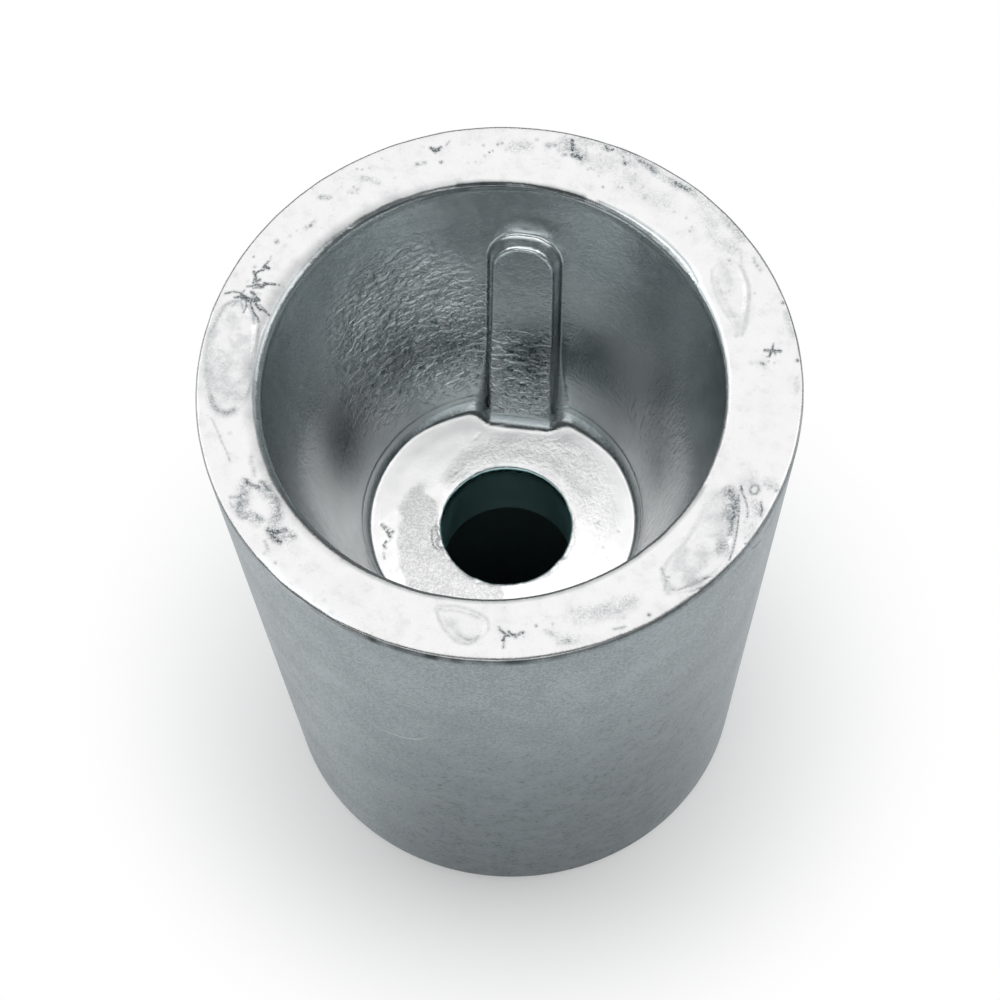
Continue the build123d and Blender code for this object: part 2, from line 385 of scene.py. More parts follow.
rimMarks = {
    "scars": [
        # where the gates were broken off
        [(-27.9, 6.2), (-29.2, 4.7), (-29.4, 2.4), (-29.3, -0.7), (-28.6, -3.4), (-27.4, -6.0), (-26.3, -6.8),
         (-25.3, -5.9), (-24.3, -4.2), (-24.3, -0.3), (-24.5, 3.4), (-25.0, 5.0), (-26.2, 6.6)],
        [(18.7, -17.5), (19.2, -16.0), (20.9, -13.6), (22.0, -10.9), (22.7, -8.9), (23.7, -7.7),
         (24.8, -8.3), (25.2, -10.5), (25.2, -13.0), (25.1, -15.5), (23.9, -17.6), (22.1, -19.1),
         (19.8, -20.2), (18.9, -18.8)],
        [(18.8, 16.1), (19.4, 14.3), (20.8, 11.9), (22.5, 9.0), (22.9, 11.1), (23.0, 13.9), (22.3, 15.8),
         (21.5, 17.2), (19.9, 17.8)],
        [(-2.5, -24.8), (-1.2, -24.2), (0.8, -24.4), (2.4, -25.0), (3.1, -26.0), (2.2, -27.5), (1.1, -28.2),
         (-0.2, -27.5), (-1.6, -26.4)],
    ],
    # thin dark growths and pits. Each line: half width, darkness, then x and y of the points along it
    "marks": [
        # needles at the left scar's far end
        (0.1, 0.8, -26.2, 6.8, -27.1, 7.3, -27.8, 7.3, -28.5, 7.0),
        (0.12, 0.9, -26.2, 6.8, -27.0, 6.8, -27.5, 6.7), (0.1, 0.7, -26.7, 7.6, -27.0, 7.0, -26.2, 6.9),
        (0.17, 0.9, -25.9, 7.5, -25.5, 7.1, -25.1, 6.7), (0.25, 1, -26.6, 6.8, -26.0, 6.6, -25.4, 6.7),
        (0.1, 0.8, -25.4, 6.1, -24.7, 5.8, -24.2, 5.5, -23.7, 5.1),
        (0.08, 0.7, -24.9, 6.2, -24.3, 5.7, -23.7, 5.0), (0.15, 0.9, -25.3, 6.2, -24.8, 5.7),
        (0.11, 0.8, -25.9, 6.3, -25.4, 5.3, -24.9, 4.7, -24.7, 4.3),
        (0.15, 0.6, -25.9, 6.1, -25.4, 5.0, -25.1, 4.1), (0.1, 0.7, -26.3, 6.3, -26.2, 5.7, -26.4, 5.2),
        (0.1, 0.6, -26.9, 6.5, -26.5, 5.6), (0.08, 0.6, -26.5, 6.5, -25.9, 5.7),
        (0.08, 0.5, -27.1, 6.3, -27.6, 5.7),
        # its edge, and the fissures in it
        (0.17, 0.55, -26.9, 6.4, -27.8, 6.1, -28.3, 5.6, -28.6, 4.9, -28.9, 3.9, -29.2, 2.5),
        (0.33, 0.45, -29.2, 2.5, -29.3, 0.7, -29.1, -0.9, -28.7, -2.6, -28.1, -4.5),
        (0.33, 0.6, -28.1, -4.5, -27.7, -5.5, -27.1, -6.1, -26.2, -6.3, -25.5, -5.8),
        (0.8, 0.3, -28.4, -1.6, -27.9, -3.6),
        (0.4, 0.45, -28.4, -2.4, -27.7, -3.5, -26.8, -3.9, -26.0, -3.8, -25.2, -4.2),
        (0.06, 0.35, -27.5, -2.0, -26.4, -3.4),
        (0.08, 0.5, -24.6, 3.9, -24.5, 1.7, -24.3, -0.5, -24.3, -2.2, -24.4, -3.4, -24.7, -4.3),
        (0.16, 0.35, -30.0, 4.0, -29.9, 2.1),
        # star beyond it
        (0.1, 0.8, -25.6, 8.4, -26.0, 8.2, -26.5, 8.1), (0.14, 0.9, -25.9, 8.6, -25.8, 9.3, -26.1, 9.8),
        (0.1, 0.8, -25.9, 9.6, -25.6, 10.0, -25.2, 10.1, -25.0, 10.5),
        (0.12, 0.8, -25.3, 10.2, -25.1, 10.8, -24.9, 11.1), (0.16, 0.9, -25.0, 10.5, -24.7, 10.4),
        (0.09, 0.5, -25.0, 11.0, -24.7, 11.3, -24.7, 11.8), (0.19, 0.9, -25.6, 8.4, -25.0, 8.3, -24.8, 8.6),
        (0.12, 0.9, -24.8, 8.6, -24.3, 8.7, -23.8, 8.7), (0.1, 0.7, -25.9, 8.0, -25.4, 8.1, -25.0, 8.1),
        (0.16, 0.8, -25.6, 8.8, -25.4, 9.0), (0.08, 0.6, -26.1, 7.6, -25.7, 7.4),
        (0.07, 0.5, -25.4, 7.5, -25.0, 7.4),
        # far side
        (0.14, 0.9, -10.9, 26.2, -10.2, 26.0, -9.9, 26.4), (0.2, 1, -10.5, 26.0, -10.1, 26.1),
        (0.09, 0.6, -9.4, 26.7, -9.1, 27.2), (0.16, 0.8, 3.0, 29.0, 3.2, 27.9),
        (0.21, 0.9, 3.3, 27.3, 4.1, 27.1), (0.16, 0.6, 2.3, 27.2, 2.7, 27.3),
        (0.21, 0.5, 1.9, 27.7, 2.5, 28.0), (0.08, 0.4, 4.4, 28.6, 4.6, 27.8, 4.6, 27.1),
        (0.1, 0.9, 6.4, 28.8, 6.7, 28.3, 7.2, 28.5), (0.12, 0.6, 2.9, 28.4, 3.4, 28.1),
        (0.23, 0.7, 13.9, 25.5, 15.4, 24.9), (0.21, 0.6, 10.0, 27.6, 11.1, 27.1, 11.6, 26.5),
        (0.09, 0.5, 5.2, 26.1, 5.6, 25.9),
        # far right scar, and the star and fissures on the right
        (0.09, 0.3, 18.8, 16.2, 19.0, 14.9, 19.6, 13.5, 20.4, 12.1, 21.2, 11.1),
        (0.15, 0.42, 21.6, 17.1, 22.2, 16.1, 22.7, 15.0, 23.0, 13.6, 23.0, 12.0, 23.0, 10.5, 22.8, 9.4,
         22.2, 9.2), (0.08, 0.3, 21.4, 18.9, 21.6, 17.5), (0.1, 0.8, 26.0, 8.1, 26.0, 8.8),
        (0.15, 0.9, 25.3, 8.0, 26.0, 8.0, 26.8, 8.1), (0.12, 0.9, 26.0, 8.1, 25.8, 7.4),
        (0.09, 0.7, 26.1, 8.0, 26.4, 7.6), (0.14, 0.8, 25.1, 6.5, 25.4, 6.4),
        (0.19, 0.3, 24.1, 6.4, 25.0, 6.5), (0.26, 0.45, 26.8, 12.5, 27.4, 10.8, 27.8, 10.1),
        # near right scar
        (0.16, 0.28, 18.8, -18.6, 18.8, -17.5, 19.1, -16.5, 19.7, -15.5, 20.4, -14.3, 21.0, -12.7, 21.5,
         -11.2, 21.9, -9.9, 22.5, -9.0, 23.2, -8.1, 23.8, -7.7),
        (0.09, 0.75, 24.9, -8.3, 25.2, -9.9, 25.3, -11.6, 25.3, -12.9, 25.2, -14.4, 25.0, -15.5),
        (0.35, 0.66, 24.1, -8.1, 24.6, -8.9, 24.8, -10.2, 24.7, -11.7, 24.7, -12.6),
        (0.9, 0.25, 23.6, -9.4, 23.9, -12.0),
        (0.3, 0.4, 23.8, -9.0, 24.1, -10.6, 24.1, -12.3, 24.0, -13.4, 24.0, -14.8),
        (0.4, 0.45, 24.3, -14.0, 24.8, -14.6), (0.16, 0.55, 18.6, -17.3, 19.2, -18.5, 19.3, -19.6),
        (0.1, 0.55, 19.1, -18.2, 19.5, -18.1), (0.12, 0.6, 15.0, -24.5, 16.0, -24.1),
        (0.1, 0.55, 21.7, -19.5, 22.6, -19.0), (0.08, 0.45, 22.9, -17.7, 23.6, -17.5),
        (0.14, 0.62, 26.0, -7.3, 26.2, -7.05, 26.5, -7.0, 26.75, -7.2, 26.8, -7.6, 26.6, -7.95, 26.3,
         -8.05, 26.0, -7.85, 26.0, -7.3), (0.1, 0.7, 25.0, -7.7, 25.6, -8.6, 26.0, -9.6, 26.1, -10.6),
        (0.11, 0.8, 25.0, -7.3, 25.2, -7.7), (0.12, 0.7, 27.2, -8.8, 27.4, -9.6, 27.4, -10.4),
        (0.1, 0.45, 27.3, -6.8, 28.0, -7.0, 28.7, -7.2),
        # near scar and its star
        (0.14, 0.32, -2.6, -24.9, -2.4, -24.4, -1.6, -24.2, -0.4, -24.1, 0.5, -24.3, 1.6, -24.6, 2.5,
         -25.0, 2.7, -25.4),
        (0.12, 0.42, -2.4, -25.0, -2.0, -25.9, -1.5, -26.7, -0.8, -27.4, -0.3, -27.8, 0.3, -28.1),
        (0.14, 0.45, 0.6, -28.1, 1.2, -28.1, 1.7, -27.7, 2.0, -27.1), (0.1, 0.25, 2.6, -25.4, 2.9, -26.3),
        (0.12, 0.8, 4.0, -26.1, 4.6, -26.5, 5.0, -26.7), (0.12, 0.9, 4.4, -27.2, 4.6, -26.7),
        (0.1, 0.7, 4.6, -27.1, 4.6, -28.0), (0.14, 0.8, 4.9, -26.2, 5.2, -26.5, 5.8, -26.4, 6.3, -26.1),
        (0.08, 0.6, 3.8, -25.8, 4.1, -26.0),
        # rust-like growths on the near left
        (0.21, 0.7, -23.2, -13.3, -22.6, -13.8, -21.8, -13.9), (0.21, 0.6, -21.5, -13.3, -20.6, -14.1),
        (0.31, 0.55, -23.3, -15.6, -23.4, -16.7, -22.8, -17.2),
        (0.25, 0.55, -19.9, -15.1, -19.4, -15.9, -19.4, -16.8), (0.21, 0.6, -21.6, -17.0, -20.8, -17.4),
        (0.25, 0.75, -20.1, -18.4, -19.4, -18.6, -18.4, -18.2),
        (0.25, 0.75, -19.7, -18.9, -19.2, -19.4, -18.7, -19.6), (0.16, 0.6, -18.3, -19.0, -17.3, -18.7),
        (0.19, 0.5, -23.0, -10.6, -22.9, -11.4), (0.19, 0.5, -22.6, -11.9, -22.4, -12.6),
        (0.16, 0.5, -20.2, -19.7, -19.7, -20.6, -20.0, -21.0),
        (0.17, 0.6, -24.3, -15.4, -23.4, -15.1, -22.9, -14.6), (0.12, 0.5, -24.2, -16.0, -23.8, -16.5),
        (0.06, 0.5, -27.6, -7.0, -26.8, -8.2, -26.1, -9.5, -25.4, -10.6, -25.0, -11.4),
        # pits
        (0.1, 0.8, -23.4, 8.7), (0.11, 0.7, -26.4, 11.5), (0.14, 0.7, -26.1, 10.4),
        (0.1, 0.5, -26.5, 8.7), (0.17, 0.4, -27.8, 9.2), (0.21, 0.7, -24.4, 13.5),
        (0.16, 0.25, -23.5, 13.1), (0.16, 0.35, -23.2, 14.3), (0.1, 0.5, -22.6, 15.0),
        (0.16, 0.7, -21.3, 15.8), (0.23, 0.45, -20.7, 19.1), (0.21, 0.5, -20.2, 19.1),
        (0.14, 0.3, -19.0, 20.5), (0.1, 0.7, -17.8, 20.7), (0.1, 0.5, -17.8, 20.0),
        (0.1, 0.5, -17.3, 20.0), (0.1, 0.6, -15.5, 21.4), (0.1, 0.4, -13.9, 22.3),
        (0.1, 0.6, -17.8, 22.8), (0.1, 0.55, -17.3, 22.8), (0.1, 0.6, -16.6, 23.1),
        (0.1, 0.5, -15.5, 24.3), (0.12, 0.8, -10.3, 25.7), (0.1, 0.4, -11.6, 26.2),
        (0.16, 0.65, -11.9, 24.2), (0.12, 0.6, -11.3, 24.4), (0.17, 0.8, -9.6, 24.7),
        (0.1, 0.4, -6.9, 25.0), (0.1, 0.4, -6.2, 25.2), (0.14, 0.55, -5.7, 27.2),
        (0.12, 0.55, -5.4, 26.0), (0.1, 0.75, -5.0, 26.5), (0.1, 0.6, -4.7, 26.7),
        (0.12, 0.65, -4.3, 27.5), (0.12, 0.65, -3.9, 27.7), (0.11, 0.45, -3.4, 27.0),
        (0.16, 0.55, -0.5, 28.6), (0.21, 0.55, 0.8, 28.0), (0.19, 0.5, 1.4, 28.2), (0.1, 0.6, 4.9, 26.9),
        (0.1, 0.5, 6.0, 27.8), (0.11, 0.5, 7.2, 26.4), (0.1, 0.55, 5.0, 25.9), (0.1, 0.5, 6.2, 25.3),
        (0.1, 0.5, 6.3, 25.7), (0.12, 0.7, 6.8, 24.1), (0.1, 0.55, 8.3, 24.3), (0.11, 0.6, 8.7, 24.3),
        (0.12, 0.7, 8.3, 27.8), (0.22, 0.75, 8.6, 27.1), (0.1, 0.5, 9.0, 27.3), (0.1, 0.45, 7.9, 27.2),
        (0.11, 0.55, 9.8, 26.0), (0.1, 0.5, 9.5, 24.9), (0.11, 0.45, 10.8, 24.6), (0.25, 0.5, 11.1, 23.6),
        (0.11, 0.5, 14.2, 22.3), (0.11, 0.6, 15.5, 21.7), (0.11, 0.55, 16.2, 20.8), (0.12, 0.6, 16.1, 20.3),
        (0.16, 0.6, 20.4, 17.5), (0.15, 0.55, 22.8, 18.1), (0.15, 0.65, 22.9, 17.7),
        (0.16, 0.65, 23.2, 17.3), (0.16, 0.65, 23.6, 16.9), (0.1, 0.5, 23.4, 14.2),
        (0.1, 0.5, 23.0, 12.7), (0.17, 0.8, 26.3, 13.5), (0.16, 0.9, 28.6, 7.3), (0.1, 0.7, 25.6, 7.3),
        (0.1, 0.7, 25.8, 6.8), (0.1, 0.6, 26.4, 6.7), (0.1, 0.5, 25.6, 6.3), (0.21, 0.4, 19.6, -19.9),
        (0.19, 0.7, 18.1, -22.5), (0.1, 0.6, 26.2, -12.9), (0.11, 0.7, 26.3, -13.5),
        (0.14, 0.4, 26.7, -11.4), (0.14, 0.35, 25.9, -11.2), (0.11, 0.8, 28.5, -7.3),
        (0.1, 0.5, 28.4, -6.6), (0.1, 0.5, 27.7, -7.3), (0.16, 0.8, 5.6, -26.7), (0.1, 0.7, 6.0, -26.1),
        (0.1, 0.55, 6.4, -26.5), (0.15, 0.7, 7.4, -25.2), (0.17, 0.45, 8.4, -25.6),
        (0.19, 0.5, 8.8, -25.8), (0.1, 0.5, 9.0, -24.8), (0.25, 0.65, 10.7, -26.4),
        (0.12, 0.55, 11.0, -26.6), (0.1, 0.5, 10.8, -26.0), (0.16, 0.4, 15.1, -22.6),
        (0.16, 0.4, 15.7, -23.1), (0.12, 0.45, 14.9, -24.5), (0.14, 0.5, 15.7, -24.3),
        (0.15, 0.7, -18.8, -21.9), (0.24, 0.45, -12.6, -26.6), (0.15, 0.3, -13.4, -25.3),
        (0.16, 0.35, -25.5, -8.4), (0.23, 0.35, -2.1, -24.7),
    ],
    # grey stains, written the same way
    "stains": [
        (0.4, 0.6, -2.7, 27.4, -1.3, 27.6), (0.4, 0.5, 2.3, 28.9, 3.8, 29.1),
        (0.3, 0.6, 8.7, 28.2, 10.0, 27.6, 11.1, 27.1, 12.5, 26.0, 13.5, 25.6, 14.8, 25.2, 15.7, 24.6, 16.5,
         24.2), (0.3, 0.5, 18.1, 23.3, 19.0, 22.3, 19.9, 21.6, 20.8, 20.8, 21.5, 20.0),
        (0.5, 0.3, 17.2, 23.4, 17.7, 22.0, 18.4, 20.5, 19.7, 19.2, 20.8, 19.0),
        (0.3, 0.3, 10.5, -23.3, 12.0, -23.7, 12.7, -24.0),
        (0.6, 0.4, 11.5, -23.6, 12.6, -23.1, 13.9, -22.5, 15.2, -21.9, 16.1, -21.4),
        (0.3, 0.35, 9.3, -25.9, 10.0, -26.5),
        (0.43, 0.7, -23.1, -13.7, -23.0, -15.5, -22.8, -16.8, -21.4, -17.5),
        (0.43, 0.65, -21.4, -13.8, -20.0, -15.1, -19.4, -16.7, -19.6, -18.9, -17.8, -18.8),
        (0.3, 0.3, 27.3, -6.5, 28.7, -7.2), (0.2, 0.4, 28.8, 5.3, 29.0, 3.8),
        (0.8, 0.22, 6.1, 27.1, 8.3, 25.7, 10.5, 24.2, 13.2, 22.9), (0.4, 0.22, -27.5, -1.0, -26.4, -0.8),
        (0.4, 0.2, -28.6, 1.1, -27.8, -0.5), (0.6, 0.22, 25.8, -6.5, 26.7, -11.9),
        (0.6, 0.2, 21.4, -17.7, 23.0, -18.5), (0.5, 0.2, 22.2, -15.9, 23.2, -14.9),
        # clumps on the far side
        (0.2, 0.45, -17.4, 21.7, -16.4, 21.8, -15.5, 21.5), (0.17, 0.4, -18.1, 20.1, -17.3, 20.4),
        (0.18, 0.6, -20.9, 19.1, -20.0, 19.2), (0.17, 0.45, -12.0, 24.1, -11.2, 24.4),
        (0.2, 0.45, 0.5, 28.2, 1.6, 28.3), (0.45, 0.65, 2.2, 28.6, 3.1, 28.2, 3.8, 27.6, 4.3, 27.1),
        (0.2, 0.5, 6.3, 28.5, 7.1, 28.4), (0.35, 0.5, 8.5, 27.3, 9.5, 27.0),
        (0.3, 0.5, 3.3, 29.2, 5.8, 28.8, 7.9, 28.4, 10.0, 27.9), (0.15, 0.5, -21.8, 15.4, -20.9, 16.4),
        # beside and in the near right scar
        (0.35, 0.5, 10.5, -26.3, 11.3, -26.2), (0.45, 0.8, 24.0, -8.1, 24.4, -9.2, 24.4, -10.6),
        (0.35, 0.7, 23.9, -14.2, 24.4, -13.9), (0.35, 0.6, 26.5, -9.0, 27.1, -9.8),
    ],
    "scarDepth": 0.1,
    "scarLip": 0.04,
    "finest": 0.09,
}

# Marks in the cavity and on the outside, mm; angles run from +Y towards +X
surfaceMarks = {
    # wrinkled skin on the wall left of the key: angle, height above the floor
    "wrinkles": [(-62, 21.5), (-41, 22.5), (-26, 20.5), (-13, 16), (-13, 2.6), (-48, 2.4), (-66, 6),
        (-70, 14)],
    # painted shade on the wall, and painted highlights where the amount is below 0: angle, height, half sizes
    # of both, amount
    "paintedShadingPatches": [
        (2.5, 9.7, 9, 3.6, 0.57), (4, 23.2, 4, 0.9, 0.5), (-27, 8.5, 9, 3, 0.3), (-46, 10.5, 10, 3.2, 0.38),
        (24, 10.5, 9, 2.8, 0.45), (43, 19.5, 9, 3.5, 0.3), (55, 14, 8, 4.5, 0.4), (-82, 8.5, 16, 6, 0.75),
        (-62, 14, 8, 5, 0.15), (-36, 4.6, 14, 1.7, -0.3), (72, 7.5, 14, 5, 0.42), (-46, 22.4, 9, 4, 0.2),
        (1, 18, 9, 4, -0.6), (-20, 16, 14, 6, -0.2), (22, 20, 9, 6, -0.2), (1, 24.2, 4, 0.5, 0.45),
        (-6.3, 23.1, 1.5, 0.55, -0.5), (5.7, 23.1, 1.6, 0.5, -0.12),
    ],
    # grainy patch on the cavity floor: x, y
    "grain": [(-9.3, 3.4), (-10.5, 1.8), (-10.7, -0.8), (-10.7, -2.9), (-10.0, -5.6), (-8.9, -7.8),
        (-7.9, -9.0), (-5.1, -10.7), (0.0, -10.8), (1.7, -8.6), (0.5, -7.0), (-2.8, -5.8), (-5.6, -3.9),
        (-6.4, -1.7), (-6.7, 0.0), (-7.5, 1.4), (-8.4, 2.4)],
    # rippled part of the floor beyond the hole: x, y
    "ripples": [(-6.6, 4.3), (-4.8, 7.5), (-2.0, 9.5), (2.0, 10.3), (5.6, 10.1), (8.4, 8.2), (10.1, 5.2),
        (10.9, 2.4), (9.8, -1.2), (7.4, 1.4), (6.3, 3.5), (5.3, 5.1), (3.0, 6.9), (-1.6, 6.7), (-4.5, 5.5),
        (-6.2, 3.0)],
    # pits, a burr and faint rings on the floor, written like the marks on the rim
    "floorMarks": [
        (0.17, 0.9, -12.4, -1.9, -12.0, -2.2, -11.6, -2.8, -11.4, -3.1),
        (0.13, 0.8, -12.1, -2.3, -11.6, -2.3), (0.14, 0.8, -11.6, -2.8, -11.2, -2.5),
        (0.11, 0.6, -11.5, -3.1, -11.4, -3.5), (0.12, 0.85, -11.7, -3.7, -11.9, -4.1, -11.7, -4.4),
        (0.11, 0.7, -11.8, -5.1, -11.6, -5.6), (0.13, 0.5, -10.3, -6.6, -10.2, -6.8),
        (0.11, 0.4, -10.9, -6.9, -10.8, -7.0), (0.11, 0.6, -7.3, -1.4, -6.9, -1.2, -6.5, -1.6),
        (0.11, 0.7, -6.9, -1.8, -6.5, -2.4, -6.7, -3.0, -6.4, -3.6),
        (0.11, 0.75, -7.3, -1.8, -7.2, -2.7, -6.9, -3.5, -6.3, -3.9, -5.9, -3.6),
        (0.1, 0.6, -6.1, -3.4, -6.0, -2.8), (0.14, 0.8, 9.3, 1.5), (0.11, 0.6, 10.2, -1.3),
        (0.12, 0.7, 11.5, 0.7), (0.11, 0.4, 10.8, -2.4, 11.0, -2.6), (0.13, 0.35, -4.5, 9.2, -4.2, 9.7),
    ],
    "floorStains": [
        (0.32, 0.3, -11.5, 4.5, -10.6, 6.4, -9.2, 8.0, -7.2, 9.5, -4.7, 10.4),
        (0.16, 0.2, -8.7, 5.8, -6.4, 8.1), (0.32, 0.35, -6.7, 10.1, -5.3, 10.6, -3.7, 10.2),
        (0.22, 0.35, 4.5, 10.7, 5.9, 11.3),
        (0.45, 0.6, -6.3, 4.5, -5.4, 6.3, -3.8, 7.5, -1.9, 8.1, 1.2, 8.3, 3.6, 7.6, 5.6, 6.2, 7.4, 4.2),
    ],
    # nicks and lines on the outside: half width, darkness, then angle and height of the points
    "outsideMarks": [
        (0.19, 0.9, 110.1, 61.5, 107.9, 61.2), (0.17, 0.9, 107.9, 61.2, 106.2, 62.3, 105.0, 62.7),
        (0.2, 0.9, 115.3, 62.5, 113.2, 61.3, 112.0, 61.1), (0.25, 0.7, 119.8, 62.3, 117.5, 61.8),
        (0.15, 0.5, 117.0, 62.3, 115.0, 61.4), (0.25, 0.4, 123.1, 63.2, 120.5, 62.4),
        (0.38, 0.3, 130.6, 63.9, 126.1, 62.2),
        (0.38, 0.25, 144.1, 62.4, 137.6, 63.0, 130.4, 62.4, 120.3, 60.7),
        (0.14, 0.25, 190.8, 60.6, 184.8, 61.4, 179.9, 61.7, 171.4, 61.8),
    ],
    # painted shade: dark lines along the worn mouth edge: half width, darkness, then angle and distance in
    # over the edge
    "paintedEdgeShade": [
        (0.3, 1.0, -17, 0.4, -8, 0.5, 4, 0.5, 14, 0.4), (0.1, 0.6, -26, 1.5, -18, 1.4, -10, 1.3, 0, 1.4),
        (0.12, 0.7, -40, 1.1, -30, 1.15, -22, 1.0, -14, 1.0),
        (0.1, 0.75, 18, 0.05, 28, -0.05, 38, -0.05, 46, 0.05, 51, 0.4),
        (0.18, 0.55, 110, 0.1, 145, 0.1, 180, 0.1), (0.18, 0.55, -180, 0.1, -150, 0.15),
        (0.1, 0.3, -60, 1.0, -50, 1.1, -40, 1.1), (0.6, 0.4, -105, 0.5, -85, 0.4, -70, 0.3, -62, 0.35),
        (0.5, 0.5, -62, 0.45, -40, 0.5, -26, 0.5, -17, 0.5), (0.5, 0.3, -150, 0.5, -125, 0.5, -105, 0.5),
    ],
    # painted highlights: brighter strips on the worn mouth edge and near the key, written the same way
    "paintedHighlight": [
        (0.35, 0.2, -40, 0.45, -28, 0.45, -14, 0.4), (0.1, 0.6, -14, 1.1, 0, 1.15, 12, 1.05),
        (0.38, 1.4, 20, 0.5, 34, 0.45, 50, 0.5),
        (0.12, 0.3, -105, 1.15, -85, 1.1, -70, 1.1, -55, 1.05, -42, 1.0),
        (0.25, 0.45, 50, 0.5, 70, 0.6, 85, 0.7), (0.1, 1, -1.4, 0.3, -1.2, 0.6),
        (0.1, 1, 9.2, 0.2, 9.6, 0.6),
    ],
    # flash left on the outer edge of the rim: first and last angle, height
    "flash": (-161, -134, 0.1),
}


def lumps(points, size, seed):
    # smooth random field between -1 and 1, with features about as large as size
    spot = points / size + seed * 7.31
    cell = np.floor(spot).astype(np.int64)
    share = spot - cell
    share = share * share * (3 - 2 * share)
    total = np.zeros(len(points))
    for corner in itertools.product((0, 1), repeat=3):
        code = (cell + corner) * (73856093, 19349663, 83492791)
        code = code[:, 0] ^ code[:, 1] ^ code[:, 2]
        code = (code ^ (code >> 13)) * 1274126177 & 0x7FFFFFFF
        weight = np.prod(np.abs(1 - np.array(corner) - share), axis=1)
        total += weight * ((code % 9973) / 4986.0 - 1)
    return total


def awayFrom(points, path, closed=False):
    # distance of each point from a path of straight runs, or from a single spot
    path = np.array(path, float)
    ends = np.roll(path, -1, axis=0) if closed or len(path) == 1 else path[1:]
    least = np.full(len(points), 99.0)
    for a, b in zip(path, ends):
        run = b - a
        share = np.clip((points - a) @ run / (run @ run + 1e-12), 0, 1)
        least = np.minimum(least, np.linalg.norm(points - a - share[:, None] * run, axis=1))
    return least


def markStrength(points, marks, scale=(1, 1), wider=0.0, finest=0.0):
    # how strongly each point lies under a list of marks; points are in mm
    strength = np.zeros(len(points))
    for width, most, *flat in marks:
        path = np.reshape(flat, (-1, 2)) * scale
        width = max(width, finest) + wider
        edge = 2.6 * width
        close = np.all((points > path.min(axis=0) - edge) & (points < path.max(axis=0) + edge), axis=1)
        here = most * smoothStep(awayFrom(points[close], path), width * 2.5, width * 0.2)
        strength[close] = np.maximum(strength[close], here)
    return strength


def depthInside(points, path):
    # distance from a closed outline with its corners cut, above 0 inside it
    path = np.array(path, float)
    for turn in range(2):
        ahead = np.roll(path, -1, axis=0)
        path = np.stack([path * 0.75 + ahead * 0.25, path * 0.25 + ahead * 0.75], axis=1).reshape(-1, 2)
    inside = np.zeros(len(points), bool)
    for a, b in zip(path, np.roll(path, -1, axis=0)):
        spans = (a[1] > points[:, 1]) != (b[1] > points[:, 1])
        crossing = a[0] + (points[:, 1] - a[1]) * (b[0] - a[0]) / (b[1] - a[1] + 1e-12)
        inside ^= spans & (points[:, 0] < crossing)
    return np.where(inside, 1, -1) * awayFrom(points, path, True)


def bell(value, width):
    # 1 where the value is 0, falling off to both sides
    return np.exp(-(value / width) ** 2)


# mm for each degree along the outside and along the mouth's edge, and for each mm across
alongSide = (0.517, 1)
alongMouth = (0.404, 1)


def scarDepth(points):
    depth = np.full(len(points), -3.0)
    for outline in rimMarks["scars"]:
        depth = np.maximum(depth, depthInside(points, outline))
    return np.clip(depth, -3, 3)


def mouthEdgeRun(x, y, z):
    # angle about the core's axis, and distance in over the mouth edge from where its rounding begins
    aboutCore = x + casting["coreShiftMouth"]
    turn = np.degrees(np.arctan2(aboutCore, y))
    start = casting["cavityMouthRadius"] + casting["cavityEdge"] * wearAt(turn, mouthWear)
    return turn, start - np.hypot(aboutCore, y) + top - z


def nearThin(places, marks, widest, reach, scale=(1, 1)):
    # places that lie under or beside the thinner marks
    thin = [mark for mark in marks if mark[0] < widest]
    return markStrength(places, thin, scale, reach) > 0.05


def sharpenMarks(body):
    # smaller faces where marks lie, in two rounds: how far beside a mark, and the widest mark
    for reach, widest in ((0.15, 1.0), (0.04, 0.27)):
        faces = body.faces[:]
        middles = np.array([face.calc_center_median()[:] for face in faces])
        x, y, z = middles.T
        flat = middles[:, :2]
        onSide = np.stack([np.degrees(np.arctan2(x, y)) % 360, z], axis=1) * alongSide
        near = (z > top - 0.1) & nearThin(flat, rimMarks["marks"], widest, reach)
        near |= (np.abs(z - floorZ) < 0.1) & nearThin(flat, surfaceMarks["floorMarks"], widest, reach)
        outside = (np.hypot(x, y) > 29) & (z < top - 0.2)
        near |= outside & nearThin(onSide, surfaceMarks["outsideMarks"], widest, reach, alongSide)
        if widest > 0.5:
            near |= (z > top - 0.1) & (np.abs(scarDepth(flat)) < 0.4)
            edgeTurn, run = mouthEdgeRun(x, y, z)
            near |= (z > top - 2) & (run > -0.3) & (run < 1.7) & (np.abs(edgeTurn + 25) < 90)
        edges = {edge for face, chosen in zip(faces, near) if chosen for edge in face.edges}
        bmesh.ops.subdivide_edges(body, edges=list(edges), cuts=1, use_grid_fill=True)


def surfaceZones(points):
    # which part of the casting each point is on, 0 to 1
    x, y, z = points.T
    r = np.hypot(x, y)
    inside = (np.hypot(x + coreShift(z), y) < wallRadius(z) + 0.3) & (z > floorZ - 0.3)
    rim = smoothStep(z, top - 0.25, top - 0.08) * (r > 22.5)
    floor = inside * smoothStep(z, floorZ + 0.08, floorZ + 0.02) * smoothStep(r, 6.5, 6.65)
    recess = (r < casting["recessRadius"] + 0.25) & (z < webZ + 0.2)
    hole = (r < casting["holeSide"]) & (z < floorZ - 0.05) & ~recess
    wall = inside * (1 - floor) * (z < top - 0.2)
    return {"rim": rim, "floorZone": floor, "wall": wall, "hole": hole * 1.0, "recess": recess * 1.0}


